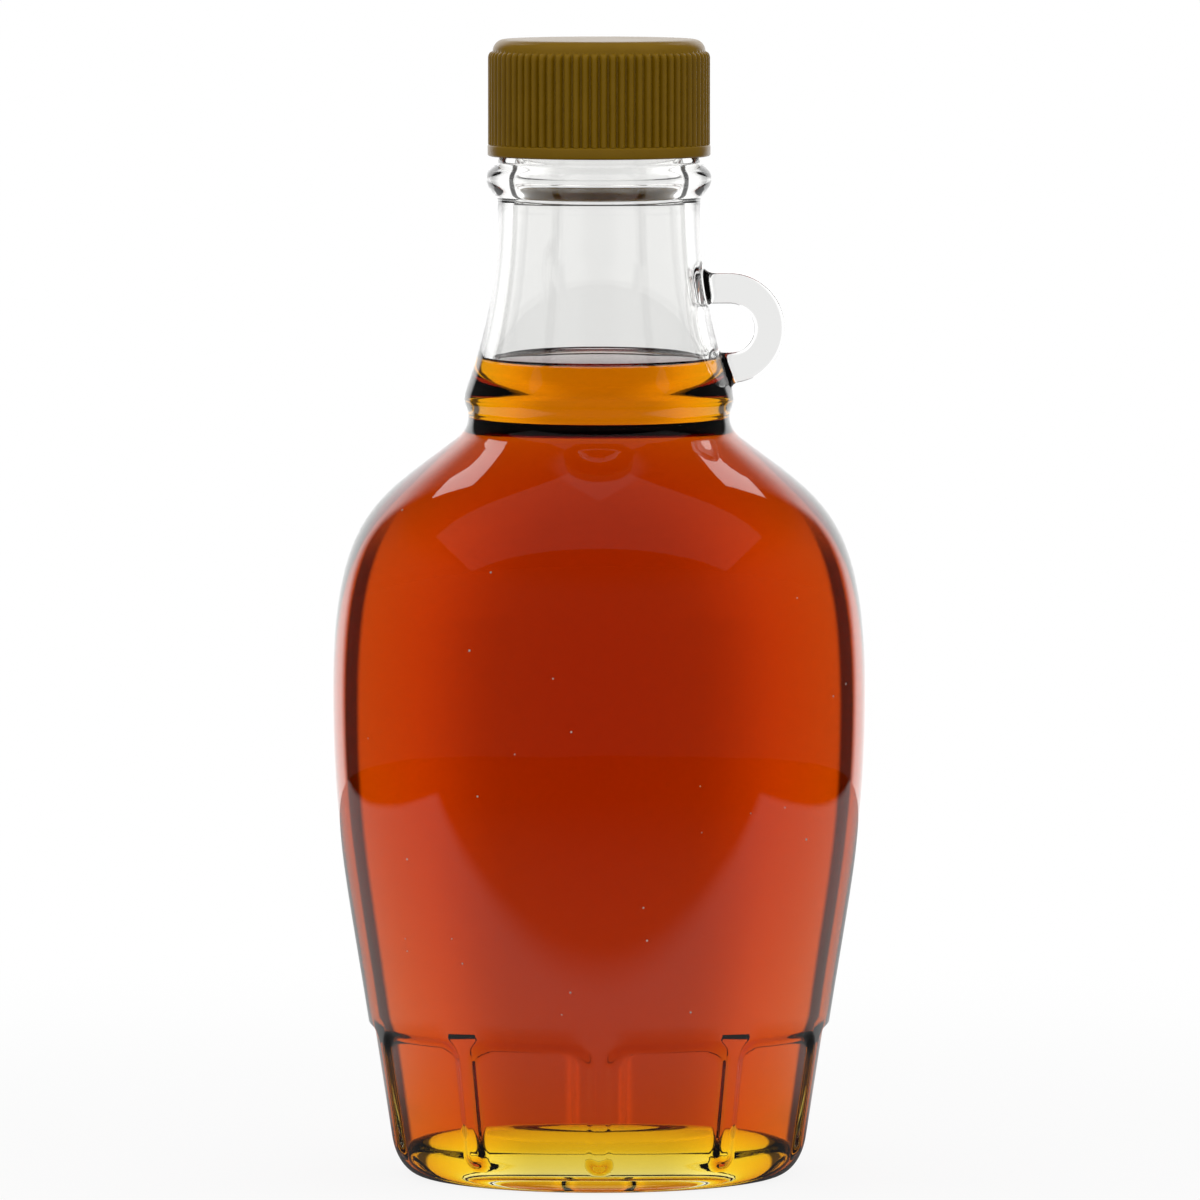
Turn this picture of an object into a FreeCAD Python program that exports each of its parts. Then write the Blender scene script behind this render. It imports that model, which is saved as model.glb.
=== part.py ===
import FreeCAD, Part

import math
import os

# Ring-handled glass flask with its filling and its screw cap.
# Millimetres. Z is the axis of the flask and z = 0 is the surface it stands on.
# The finger ring is on +X, and one rib of the base faces -Y, the front.

Vec = FreeCAD.Vector
AXIS = Vec(0, 0, 1)

# Heights of the stretches of the flask, from the table up.
heel_h = 5.0            # rounded heel
panel_h = 14.6          # ribbed band above the heel
ledge_h = 1.1           # slope from the panels out to the body
belly_h = 44.7          # ledge to the widest place
shoulder_h = 34.4       # widest place to the foot of the neck
groove_h = 2.6          # foot of the neck to the middle of the groove
bead_h = 2.5            # groove to the crest of the lower bead
flare_h = 3.1           # crest of the bead to the flare of the neck
neck_h = 21.7           # flare to the narrowest place of the neck
collar_h = 4.8          # narrowest place to the crest of the collar
waist_h = 2.6           # crest of the collar to the waist under the cap
finish_h = 14.6         # waist to the mouth

# Radii of the outside, and how far each smaller feature stands out from its neighbour.
ledge_r = 31.1
body_r = 36.0
groove_r = 17.65
neck_r = 13.64
finish_r = 12.7
heel_w = 3.965          # bearing ring's edge in from the top of the heel
bead_out = 0.55         # crest of the lower bead out from the groove
flare_in = 0.9          # flare in from the crest of the lower bead
collar_out = 1.56       # crest of the collar out from the neck
collar_bead_r = 2.1     # rounding of the collar's crest
waist_out = 0.9         # waist out from the finish
lip_r = 0.7             # rounding of the mouth

# Slopes of the outside, as radius per height.
wall_taper = 0.155      # base and lower body
shoulder_slope = 1.3
flare_slope = 0.35

# How far each curve of the outside keeps the direction it starts and ends with.
belly_pull = 18.0
shoulder_pull = 24.5
shoulder_foot_pull = 8.2
flare_pull = 5.0
neck_pull = 9.0

# Underside.
bearing_w = 2.0         # width of the bearing ring
punt_h = 1.6            # height of the hollow under the foot

# Glass thickness.
body_wall = 3.3
neck_wall = 2.25        # at the foot of the neck
floor_h = 2.7           # top of the glass floor at its edge
floor_crown = 6.3       # how much the floor rises at the axis
crown_flat = 1.1        # reach of the raised floor's flat top, as a share of the floor's edge
crown_foot = 0.7       # where the raised floor's side would meet the floor, as the same share
floor_corner_r = 3.5
throat_wall = 2.04      # at the collar
finish_wall = 2.5       # at the mouth
throat_h = 6.0          # collar to where the bore is as narrow as the mouth

# Base panels.
rib_count = 10
panel_depth = 0.7       # how far the panels lie below the ribs
rib_w = 2.6             # width of a rib half way up its side
rib_corner_r = 2.6      # rounding of the panels' upper corners
rib_draft = 0.45        # how much a side of a rib leans, each way
rib_run = 1.4           # how far the ribs run down over the heel

# Finger ring.
ring_out = 2.25         # centre of the ring out from the neck
ring_h = 12.0           # middle of the groove up to the centre of the ring
ring_r = 7.4
ring_hole_r = 3.3
ring_depth = 5.0        # thickness across, along Y
ring_edge_r = 0.7
ring_top_flare = 2.0    # rounding of the upper root
ring_foot_flare = 0.9   # rounding of the lower root
root_sink = 0.6         # how far the roots run into the glass
root_fillet_r = 0.8     # rounding between the ring and the neck all round a root

# Filling.
fill_h = 7.1            # middle of the groove up to the level

# Screw cap.
cap_gap = 0.4           # lower rim of the cap above the waist
cap_roof = 1.5
cap_skirt_w = 1.11      # skirt's wall at the bottom of its grooves
cap_knurl_depth = 0.62
cap_flange_h = 1.6
cap_flange_out = 0.06   # flange out from the ridges
cap_knurl_count = 74
cap_ridge_share = 0.66  # share of the pitch that a ridge takes
cap_edge_r = 1.6        # rounding of the crown
cap_edge_chamfer = 0.2  # edges of the flange
cap_clearance = 0.5     # inside of the skirt to the glass
cap_lead_in = 0.8       # widening of the skirt at its lower rim

# Radii that follow from others.
bead_r = groove_r + bead_out
flare_r = bead_r - flare_in
collar_r = neck_r + collar_out
waist_r = finish_r + waist_out
throat_r = neck_r - throat_wall
mouth_r = finish_r - finish_wall
cap_bore_r = finish_r + cap_clearance
cap_root_r = cap_bore_r + cap_skirt_w
cap_knurl_r = cap_root_r + cap_knurl_depth
cap_flange_r = cap_knurl_r + cap_flange_out

# Heights above the table.
panel_top_z = heel_h + panel_h
ledge_z = panel_top_z + ledge_h
belly_z = ledge_z + belly_h
shoulder_z = belly_z + shoulder_h
groove_z = shoulder_z + groove_h
bead_z = groove_z + bead_h
flare_z = bead_z + flare_h
neck_z = flare_z + neck_h
collar_z = neck_z + collar_h
waist_z = collar_z + waist_h
mouth_z = waist_z + finish_h
cap_bottom_z = waist_z + cap_gap
cap_top_z = mouth_z + cap_roof
rib_end_z = heel_h - rib_run
ring_z = groove_z + ring_h
fill_z = groove_z + fill_h


def point(r, z):
    """A point of an outline in the XZ plane."""
    return Vec(r, 0, z)


def line(start, end):
    """A straight edge."""
    return Part.LineSegment(start, end).toShape()


def bend(start, through, end):
    """An edge along the arc of a circle through three points."""
    return Part.Arc(start, through, end).toShape()


def curve(*poles):
    """An edge along a Bezier curve."""
    bezier = Part.BezierCurve()
    bezier.setPoles(list(poles))
    return bezier.toShape()


def turned(edges):
    """The solid that a closed outline sweeps round the axis, with its seam on -X."""
    face = Part.Face(Part.Wire(edges))
    solid = face.revolve(Vec(0, 0, 0), AXIS, 360)
    solid.rotate(Vec(0, 0, 0), AXIS, 180)
    return solid


def cone_r(z):
    """Radius of the ribs at height z, on the lower body's taper carried down to the foot."""
    return ledge_r - wall_taper * (ledge_z - z)


def panel_r(z):
    """Radius of the panels at height z."""
    return cone_r(z) - panel_depth


def shoulder_inset(depth):
    """The step that moves the foot of the shoulder into the glass by depth, square to it."""
    length = math.hypot(1.0, shoulder_slope)
    return point(-depth / length, -depth * shoulder_slope / length)


def outside_edges():
    """Edges of the outside, from the bearing ring up to the mouth."""
    heel = point(panel_r(heel_h), heel_h)
    foot = point(heel.x - heel_w, 0)
    panel_top = point(panel_r(panel_top_z), panel_top_z)
    ledge = point(ledge_r, ledge_z)
    belly = point(body_r, belly_z)
    shoulder = groove_blend_start(0)
    groove = point(groove_r, groove_z)
    bead = point(bead_r, bead_z)
    flare = point(flare_r, flare_z)
    neck = point(neck_r, neck_z)
    edges = [
        curve(
            foot,
            foot + point(heel_w * 0.45, 0),
            point(heel.x - wall_taper * heel_h * 0.6, heel_h * 0.4),
            heel,
        ),
        line(heel, panel_top),
        line(panel_top, ledge),
        curve(
            ledge,
            point(ledge_r + wall_taper * belly_pull, ledge_z + belly_pull),
            point(body_r, belly_z - belly_pull),
            belly,
        ),
        curve(
            belly,
            point(body_r, belly_z + shoulder_pull),
            shoulder + point(shoulder_slope, -1) * shoulder_foot_pull,
            shoulder,
        ),
        groove_blend(0),
        curve(groove, point(groove_r, groove_z + bead_h * 0.45), point(bead_r, bead_z - bead_h * 0.4), bead),
        curve(
            bead,
            point(bead_r, bead_z + flare_h * 0.2),
            flare + point(flare_slope, -1) * flare_h * 0.2,
            flare,
        ),
        curve(
            flare,
            flare + point(-flare_slope, 1) * flare_pull,
            point(neck_r, neck_z - neck_pull),
            neck,
        ),
    ]
    return edges + collar_edges(neck)


def groove_blend_start(depth):
    """Where the shoulder's straight foot passes into the blend under the groove."""
    angle = math.atan(shoulder_slope)
    blend_r = groove_h / math.sin(angle) + depth
    inner = groove_r - depth
    return point(inner + blend_r * (1 - math.cos(angle)), groove_z - blend_r * math.sin(angle))


def groove_blend(depth):
    """The concave arc from the shoulder up to the groove, moved into the glass by depth."""
    angle = math.atan(shoulder_slope)
    blend_r = groove_h / math.sin(angle) + depth
    inner = groove_r - depth
    middle = point(
        inner + blend_r * (1 - math.cos(angle / 2)),
        groove_z - blend_r * math.sin(angle / 2),
    )
    return bend(groove_blend_start(depth), middle, point(inner, groove_z))


def collar_edges(neck):
    """Edges of the collar, the waist above it and the plain finish under the cap."""
    crest = point(collar_r, collar_z)
    under = point(neck_r + 0.1, collar_z - collar_bead_r * 1.35)
    waist = point(waist_r, waist_z)
    finish = point(finish_r, cap_bottom_z + cap_lead_in)
    lip_start = point(finish_r, mouth_z - lip_r)
    lip_end = point(finish_r - lip_r, mouth_z)
    lip_middle = point(
        finish_r - lip_r + lip_r * math.cos(math.radians(45)),
        mouth_z - lip_r + lip_r * math.sin(math.radians(45)),
    )
    return [
        curve(neck, point(neck_r, neck_z + 1.2), under),
        curve(
            under,
            point(neck_r + 0.2, collar_z - collar_bead_r),
            point(collar_r, collar_z - collar_bead_r * 0.75),
            crest,
        ),
        curve(
            crest,
            point(collar_r, collar_z + collar_bead_r * 0.75),
            point(waist_r, waist_z - collar_bead_r * 0.5),
            waist,
        ),
        line(waist, finish),
        line(finish, lip_start),
        bend(lip_start, lip_middle, lip_end),
    ]


def flask_outside():
    """The flask as if it were solid glass, without ribs and ring."""
    top = point(finish_r - lip_r, mouth_z)
    foot_r = panel_r(heel_h) - heel_w
    bearing_inner = foot_r - bearing_w
    punt_edge = point(bearing_inner, 0)
    punt_top = point(0, punt_h)
    edges = outside_edges() + [
        line(top, point(0, mouth_z)),
        line(point(0, mouth_z), punt_top),
        curve(
            punt_top,
            point(bearing_inner * 0.7, punt_h),
            point(bearing_inner * 0.92, punt_h * 0.5),
            punt_edge,
        ),
        line(punt_edge, point(foot_r, 0)),
    ]
    return turned(edges)


def cavity_edges():
    """Edges of the glass wall's inside, from the middle of the floor up to the mouth."""
    floor_middle = point(0, floor_h + floor_crown)
    wall_start_z = floor_h + floor_corner_r
    wall_start = point(panel_r(wall_start_z) - body_wall, wall_start_z)
    floor_edge = point(wall_start.x - floor_corner_r, floor_h)
    ledge = point(ledge_r - body_wall, ledge_z)
    belly = point(body_r - body_wall, belly_z)
    shoulder = groove_blend_start(body_wall)
    groove = point(groove_r - body_wall, groove_z)
    fill_edge = point(outer_neck_r(fill_z) - neck_wall, fill_z)
    throat = point(throat_r, collar_z)
    mouth_start = point(mouth_r, collar_z + throat_h)
    return [
        curve(
            floor_middle,
            point(floor_edge.x * crown_flat, floor_h + floor_crown),
            point(floor_edge.x * crown_foot, floor_h),
            floor_edge,
        ),
        curve(
            floor_edge,
            point(floor_edge.x + floor_corner_r * 0.55, floor_h),
            point(wall_start.x - wall_taper * floor_corner_r * 0.45, wall_start_z - floor_corner_r * 0.45),
            wall_start,
        ),
        line(wall_start, ledge),
        curve(
            ledge,
            ledge + point(wall_taper, 1) * belly_pull,
            point(belly.x, belly_z - belly_pull),
            belly,
        ),
        curve(
            belly,
            point(belly.x, belly_z + shoulder_pull - body_wall * 0.5),
            shoulder + point(shoulder_slope, -1) * (shoulder_foot_pull - body_wall * 0.3),
            shoulder,
        ),
        groove_blend(body_wall),
        curve(groove, point(groove.x, groove_z + (fill_z - groove_z) * 0.5), fill_edge),
        curve(
            fill_edge,
            point(fill_edge.x - (fill_edge.x - throat_r) * 0.55, fill_z + (neck_z - fill_z) * 0.35),
            point(throat_r, collar_z - (collar_z - fill_z) * 0.4),
            throat,
        ),
        curve(
            throat,
            point(throat_r, collar_z + throat_h * 0.5),
            point(mouth_r, collar_z + throat_h * 0.5),
            mouth_start,
        ),
        line(mouth_start, point(mouth_r, mouth_z)),
    ]


def outer_neck_r(z):
    """Radius of the neck's outside at height z, read from its curve."""
    edge = outside_edges()[8]
    plane = Part.LineSegment(point(0, z), point(body_r, z)).toShape()
    touch = edge.distToShape(plane)[1][0][0]
    return touch.x


def ring_place():
    """The centre of the finger ring."""
    return point(outer_neck_r(ring_z) + ring_out, ring_z)


def cavity():
    """The hollow of the flask, open through the mouth."""
    over = mouth_z + cap_roof
    edges = cavity_edges() + [
        line(point(mouth_r, mouth_z), point(mouth_r, over)),
        line(point(mouth_r, over), point(0, over)),
        line(point(0, over), point(0, floor_h + floor_crown)),
    ]
    return turned(edges)


def rib_outline(x, grow):
    """A rib's outline in the plane at distance x: a strip with a round foot and flared top corners."""
    half = rib_w / 2 + grow
    corner = rib_corner_r - grow
    shoulder_y = rib_w / 2 + rib_corner_r
    corner_z = ledge_z - rib_corner_r
    foot_z = rib_end_z + rib_w / 2
    slant = corner * math.sin(math.radians(45))

    def at(y, z):
        return Vec(x, y, z)

    return Part.Wire([
        line(at(-shoulder_y, corner_z + corner), at(shoulder_y, corner_z + corner)),
        bend(
            at(shoulder_y, corner_z + corner),
            at(shoulder_y - slant, corner_z + slant),
            at(half, corner_z),
        ),
        line(at(half, corner_z), at(half, foot_z)),
        bend(at(half, foot_z), at(0, foot_z - half), at(-half, foot_z)),
        line(at(-half, foot_z), at(-half, corner_z)),
        bend(
            at(-half, corner_z),
            at(-shoulder_y + slant, corner_z + slant),
            at(-shoulder_y, corner_z + corner),
        ),
    ])


def rib():
    """One rib of the base on +X, leaning sides and all, sunk a little into the wall."""
    inner_x = panel_r(rib_end_z) - rib_draft * 2
    outer_x = ledge_r + rib_draft * 2
    side = Part.makeLoft([rib_outline(inner_x, rib_draft), rib_outline(outer_x, -rib_draft)], True, True)
    low_z = rib_end_z - rib_draft
    cone = Part.makeCone(cone_r(low_z), ledge_r, ledge_z - low_z, Vec(0, 0, low_z))
    cone.rotate(Vec(0, 0, 0), AXIS, 180)
    return side.common(cone)


def ribs():
    """All ribs, the first one on the front."""
    first = rib()
    pitch = 360.0 / rib_count
    copies = []
    for index in range(rib_count):
        copy = first.copy()
        copy.rotate(Vec(0, 0, 0), AXIS, -90 + index * pitch)
        copies.append(copy)
    return copies


def root_points(neck_side_x, flare, up):
    """Where a root's flare leaves the glass, passes through and meets the ring's rim.

    up is 1 for the upper root and -1 for the lower one.
    """
    centre_x = neck_side_x + flare
    reach = ring_r + flare
    ring = ring_place()
    centre_z = ring_z + up * math.sqrt(reach ** 2 - (centre_x - ring.x) ** 2)
    centre = point(centre_x, centre_z)
    on_glass = point(neck_side_x, centre_z)
    on_ring = ring + (centre - ring) * (ring_r / reach)
    middle = (on_glass + on_ring) * 0.5 - centre
    through = centre + middle * (flare / middle.Length)
    return on_glass, through, on_ring


def finger_ring():
    """The ring with its two roots, which run into the neck's wall."""
    ring = ring_place()
    top_z = ring_z + ring_r
    foot_z = ring_z - ring_r
    top = root_points(outer_neck_r(top_z) - root_sink, ring_top_flare, 1)
    foot = root_points(outer_neck_r(max(foot_z, flare_z)) - root_sink, ring_foot_flare, -1)
    inside_x = throat_r
    outline = Part.Wire([
        line(point(inside_x, top[0].z), top[0]),
        bend(*top),
        bend(top[2], ring + point(ring_r, 0), foot[2]),
        bend(foot[2], foot[1], foot[0]),
        line(foot[0], point(inside_x, foot[0].z)),
        line(point(inside_x, foot[0].z), point(inside_x, top[0].z)),
    ])
    plate = Part.Face(outline).extrude(Vec(0, ring_depth, 0))
    hole = Part.makeCylinder(ring_hole_r, ring_depth, ring, Vec(0, 1, 0))
    hole_corner = point(inside_x, ring.z - ring_hole_r)
    hole_side = Part.makeBox(ring.x - inside_x, ring_depth, ring_hole_r * 2, hole_corner)
    plate = plate.cut(hole.fuse(hole_side))
    plate.translate(Vec(0, -ring_depth / 2, 0))
    rims = [edge for edge in plate.Edges if edge.BoundBox.YLength < 1e-6 and edge.BoundBox.XLength > 1e-6]
    return plate.makeFillet(ring_edge_r, rims)


def is_root_edge(edge):
    """True for the edges where the finger ring meets the neck, which are free curves on +X."""
    box = edge.BoundBox
    if box.XMin < 0 or box.ZMin < groove_z or box.ZMax > neck_z or box.YMax > ring_depth:
        return False
    return isinstance(edge.Curve, Part.BSplineCurve)


def bottle():
    """The glass flask: one hollow solid with its ribs and finger ring."""
    solid = flask_outside().multiFuse(ribs() + [finger_ring()])
    roots = [edge for edge in solid.Edges if is_root_edge(edge)]
    solid = solid.makeFillet(root_fillet_r, roots)
    return solid.cut(cavity()).removeSplitter()


def syrup():
    """The filling: the hollow of the flask up to the fill level."""
    block = Part.makeCylinder(body_r * 2, fill_z)
    return cavity().common(block)


def knurl_section():
    """The section of the skirt: ridges with rounded tops between rounded grooves."""
    pitch = 2 * math.pi / cap_knurl_count
    half_ridge = pitch * cap_ridge_share / 2

    def at(radius, angle):
        return Vec(radius * math.cos(angle), radius * math.sin(angle), 0)

    edges = []
    for index in range(cap_knurl_count):
        middle = index * pitch
        start = at(cap_root_r, middle - half_ridge)
        end = at(cap_root_r, middle + half_ridge)
        following = at(cap_root_r, middle + pitch - half_ridge)
        edges.append(bend(start, at(cap_knurl_r, middle), end))
        edges.append(line(end, following))
    return Part.Face(Part.Wire(edges))


def cap_core():
    """The plain body of the cap: its flange, the bottoms of its grooves and its rounded crown."""
    flange_top = cap_bottom_z + cap_flange_h
    flat_r = cap_root_r - cap_edge_r
    crown_z = cap_top_z - cap_edge_r
    slant = cap_edge_r * math.sin(math.radians(45))
    bevel = cap_edge_chamfer
    return turned([
        line(point(0, cap_bottom_z), point(cap_flange_r - bevel, cap_bottom_z)),
        line(point(cap_flange_r - bevel, cap_bottom_z), point(cap_flange_r, cap_bottom_z + bevel)),
        line(point(cap_flange_r, cap_bottom_z + bevel), point(cap_flange_r, flange_top - bevel)),
        line(point(cap_flange_r, flange_top - bevel), point(cap_flange_r - bevel, flange_top)),
        line(point(cap_flange_r - bevel, flange_top), point(cap_root_r, flange_top)),
        line(point(cap_root_r, flange_top), point(cap_root_r, crown_z)),
        bend(
            point(cap_root_r, crown_z),
            point(flat_r + slant, crown_z + slant),
            point(flat_r, cap_top_z),
        ),
        line(point(flat_r, cap_top_z), point(0, cap_top_z)),
        line(point(0, cap_top_z), point(0, cap_bottom_z)),
    ])


def cap_ridges():
    """The skirt's ridges, sloped off at their upper ends."""
    low_z = cap_bottom_z + cap_flange_h / 2
    top_z = cap_top_z - cap_edge_r
    height = top_z - low_z
    ridges = knurl_section().extrude(Vec(0, 0, height))
    ridges.translate(Vec(0, 0, low_z))
    slope_h = cap_knurl_depth * 1.5
    wide_r = cap_knurl_r + cap_knurl_depth * 0.5
    plain = Part.makeCylinder(wide_r, height - slope_h, Vec(0, 0, low_z))
    slope = Part.makeCone(wide_r, cap_root_r, slope_h, Vec(0, 0, top_z - slope_h))
    return ridges.common(plain.fuse(slope))


def cap_hollow():
    """The room inside the cap: the skirt's bore, wider at its lower rim."""
    rim_r = cap_bore_r + cap_lead_in
    bore_z = cap_bottom_z + cap_flange_h
    return turned([
        line(point(0, cap_bottom_z), point(rim_r, cap_bottom_z)),
        line(point(rim_r, cap_bottom_z), point(cap_bore_r, bore_z)),
        line(point(cap_bore_r, bore_z), point(cap_bore_r, mouth_z)),
        line(point(cap_bore_r, mouth_z), point(0, mouth_z)),
        line(point(0, mouth_z), point(0, cap_bottom_z)),
    ])


def cap():
    """The screw cap: roof, knurled skirt and plain flange in one piece."""
    return cap_core().fuse(cap_ridges()).cut(cap_hollow())


def main():
    """Writes one STEP file for each piece."""
    os.makedirs("parts", exist_ok=True)
    for name, build in (("bottle", bottle), ("syrup", syrup), ("cap", cap)):
        shape = build()
        box = shape.BoundBox
        print(
            f"{name}: {len(shape.Solids)} solid, valid {shape.isValid()}, {shape.Volume / 1000:.1f} ml, "
            f"x {box.XMin:.2f} to {box.XMax:.2f}, z {box.ZMin:.2f} to {box.ZMax:.2f}"
        )
        shape.Solids[0].exportStep(f"parts/{name}.step")


main()
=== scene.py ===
"""A ring-handled glass flask with its amber filling and its gold screw cap, ready to render."""

import bisect
import logging
import math
import random
from dataclasses import dataclass, field
from enum import Enum
from typing import Any, Callable, Iterable, Optional, Sequence

import bmesh
import bpy
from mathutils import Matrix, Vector


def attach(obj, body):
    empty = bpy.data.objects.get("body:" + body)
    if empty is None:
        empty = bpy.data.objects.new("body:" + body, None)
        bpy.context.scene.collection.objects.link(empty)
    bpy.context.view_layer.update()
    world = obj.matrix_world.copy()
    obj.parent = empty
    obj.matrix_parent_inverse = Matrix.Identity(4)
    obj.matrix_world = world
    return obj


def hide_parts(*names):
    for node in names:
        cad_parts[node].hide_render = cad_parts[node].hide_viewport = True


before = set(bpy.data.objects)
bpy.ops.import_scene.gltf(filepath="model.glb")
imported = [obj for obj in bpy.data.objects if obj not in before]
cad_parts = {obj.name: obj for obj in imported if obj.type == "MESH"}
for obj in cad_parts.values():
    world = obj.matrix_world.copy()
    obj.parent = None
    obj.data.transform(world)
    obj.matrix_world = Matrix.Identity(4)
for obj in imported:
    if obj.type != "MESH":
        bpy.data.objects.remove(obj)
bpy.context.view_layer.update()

MM = 0.001
log = logging.getLogger("flask")

Point = tuple[float, float]
Piece = bpy.types.Object
Tree = bpy.types.NodeTree
Node = bpy.types.Node
Socket = bpy.types.NodeSocket
Vert = bmesh.types.BMVert


# ---- outlines


def crossing(low: float, high: float, before: Callable[[float], bool]) -> float:
    """Finds by halving where a test stops holding.

    Args:
        low: A value for which the test holds.
        high: A value for which it doesn't.
        before: The test.

    Returns:
        The value at which it changes.
    """
    for _ in range(40):
        middle = (low + high) / 2
        low, high = (middle, high) if before(middle) else (low, middle)
    return (low + high) / 2


def moved(place: Point, out: float, up: float) -> Point:
    """Returns a point moved outwards and upwards."""
    return (place[0] + out, place[1] + up)


@dataclass(frozen=True)
class Bend:
    """One stretch of an outline, a cubic curve in radius and height, in mm."""

    start: Point
    leave: Point
    arrive: Point
    end: Point
    rows: int

    def at(self, share: float) -> Point:
        """Returns the point at a share from 0 to 1 of the stretch."""
        back = 1.0 - share
        weights = (back**3, 3 * back * back * share, 3 * back * share * share, share**3)
        poles = (self.start, self.leave, self.arrive, self.end)
        radius, height = (sum(w * p[i] for w, p in zip(weights, poles)) for i in (0, 1))
        return (radius, height)

    def share_at(self, height: float) -> float:
        """Returns the share at which a rising stretch reaches a height."""
        return crossing(0.0, 1.0, lambda share: self.at(share)[1] < height)

    def turned_round(self) -> "Bend":
        """Returns the same stretch run the other way."""
        return Bend(self.end, self.arrive, self.leave, self.start, self.rows)


def straight(start: Point, end: Point, rows: int = 1) -> Bend:
    """Returns a straight stretch."""

    def between(share: float) -> Point:
        return (start[0] + (end[0] - start[0]) * share, start[1] + (end[1] - start[1]) * share)

    return Bend(start, between(1 / 3), between(2 / 3), end, rows)


def linked(points: Sequence[Point], rows: Sequence[int] = ()) -> list[Bend]:
    """Returns straight stretches through points, of one row each or of the rows given."""
    return [straight(a, b, n) for a, b, n in zip(points, points[1:], rows or [1] * len(points))]


def round_bend(centre: Point, radius: float, first: float, last: float, rows: int) -> Bend:
    """Returns an arc of a circle as one stretch.

    Args:
        centre: Centre of the circle.
        radius: Its radius.
        first: Angle of the start, in degrees from the outward direction.
        last: Angle of the end.
        rows: How many rows of faces it gives.

    Returns:
        The stretch.
    """
    a, b = math.radians(first), math.radians(last)
    reach = 4 / 3 * math.tan((b - a) / 4) * radius
    start = (centre[0] + radius * math.cos(a), centre[1] + radius * math.sin(a))
    end = (centre[0] + radius * math.cos(b), centre[1] + radius * math.sin(b))
    leave = (start[0] - reach * math.sin(a), start[1] + reach * math.cos(a))
    arrive = (end[0] + reach * math.sin(b), end[1] - reach * math.cos(b))
    return Bend(start, leave, arrive, end, rows)


def evened(bends: Sequence[Bend], heights: Iterable[float]) -> list[Bend]:
    """Redraws rising stretches as short straight ones between given heights.

    Args:
        bends: Stretches that follow each other and rise.
        heights: Heights, in mm, at which rows of the mesh should lie.

    Returns:
        Straight stretches through the same outline.
    """
    first, last = bends[0].start[1], bends[-1].end[1]
    marks = [bends[0].start]
    for height in sorted(heights):
        if first + 0.05 < height < last - 0.05:
            bend = next(b for b in bends if b.end[1] >= height)
            marks.append(bend.at(bend.share_at(height)))
    marks.append(bends[-1].end)
    return linked(marks)


# ---- mesh helpers


def clear_selection() -> None:
    """Leaves edit mode and deselects everything."""
    if bpy.context.object and bpy.context.object.mode != "OBJECT":
        bpy.ops.object.mode_set(mode="OBJECT")
    bpy.ops.object.select_all(action="DESELECT")


def pick(*pieces: Piece) -> None:
    """Selects these pieces alone, with the first one active."""
    clear_selection()
    for piece in pieces:
        piece.select_set(True)
    bpy.context.view_layer.objects.active = pieces[0]


@dataclass(frozen=True)
class Sweep:
    """Part of a turn of the lathe: an angle in degrees and the number of steps that it takes."""

    angle: float
    steps: int


def lathe(name: str, bends: Sequence[Bend], sweeps: Sequence[Sweep]) -> Piece:
    """Turns an outline round the axis into one closed mesh.

    Args:
        name: Name of the piece.
        bends: The outline, from the axis back to the axis.
        sweeps: Steps of the turn, which add up to a full one.

    Returns:
        The piece, in object mode, with its normals outwards.
    """
    clear_selection()
    bpy.ops.curve.primitive_bezier_curve_add(location=(0, 0, 0))
    piece = bpy.context.object
    piece.name = piece.data.name = name
    outline = piece.data
    outline.splines.clear()
    for bend in bends:
        spline = outline.splines.new("BEZIER")
        spline.bezier_points.add(1)
        first, last = spline.bezier_points
        for knot in (first, last):
            knot.handle_left_type = knot.handle_right_type = "FREE"
        poles = [(r * MM, 0, z * MM) for r, z in (bend.start, bend.leave, bend.arrive, bend.end)]
        first.co = first.handle_left = poles[0]
        first.handle_right, last.handle_left = poles[1:3]
        last.co = last.handle_right = poles[3]
        spline.resolution_u = bend.rows
    bpy.ops.object.convert(target="MESH")
    piece = bpy.context.object
    bpy.ops.object.mode_set(mode="EDIT")
    bpy.ops.mesh.select_all(action="SELECT")
    bpy.ops.mesh.remove_doubles(threshold=0.0005 * MM)
    for sweep in sweeps:
        bpy.ops.mesh.spin(
            steps=sweep.steps, angle=math.radians(sweep.angle), center=(0, 0, 0), axis=(0, 0, 1)
        )
    tidy_skin()
    return piece


def tidy_skin() -> None:
    """Merges doubles, turns the normals outwards and shades smooth, from edit mode to object mode."""
    bpy.ops.mesh.select_all(action="SELECT")
    bpy.ops.mesh.remove_doubles(threshold=0.002 * MM)
    bpy.ops.mesh.normals_make_consistent(inside=False)
    bpy.ops.object.mode_set(mode="OBJECT")
    bpy.ops.object.shade_smooth()


def smooth_step(value: float) -> float:
    """Returns 0 below 0, 1 above 1 and a soft rise between them."""
    value = min(1.0, max(0.0, value))
    return value * value * (3 - 2 * value)


# ---- material helpers


def linear(hex_colour: str) -> tuple[float, float, float, float]:
    """Returns the linear colour, with alpha 1, of an sRGB hex value."""
    parts = [int(hex_colour[i : i + 2], 16) / 255 for i in (1, 3, 5)]
    flat = [c / 12.92 if c <= 0.04045 else ((c + 0.055) / 1.055) ** 2.4 for c in parts]
    return (flat[0], flat[1], flat[2], 1.0)


def add(tree: Tree, kind: str, inputs: Optional[dict[Any, Any]] = None, **settings: Any) -> Node:
    """Adds a node with its settings and links.

    Args:
        tree: The node tree.
        kind: The node's type name without its ShaderNode prefix.
        inputs: Values, output sockets or nodes, whose first output is meant, by input name or number.
        **settings: The node's own properties.

    Returns:
        The node.
    """
    made = tree.nodes.new("ShaderNode" + kind)
    for key, value in settings.items():
        setattr(made, key, value)
    for key, value in (inputs or {}).items():
        value = value.outputs[0] if isinstance(value, Node) else value
        if isinstance(value, Socket):
            tree.links.new(value, made.inputs[key])
        else:
            made.inputs[key].default_value = value
    return made


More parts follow.
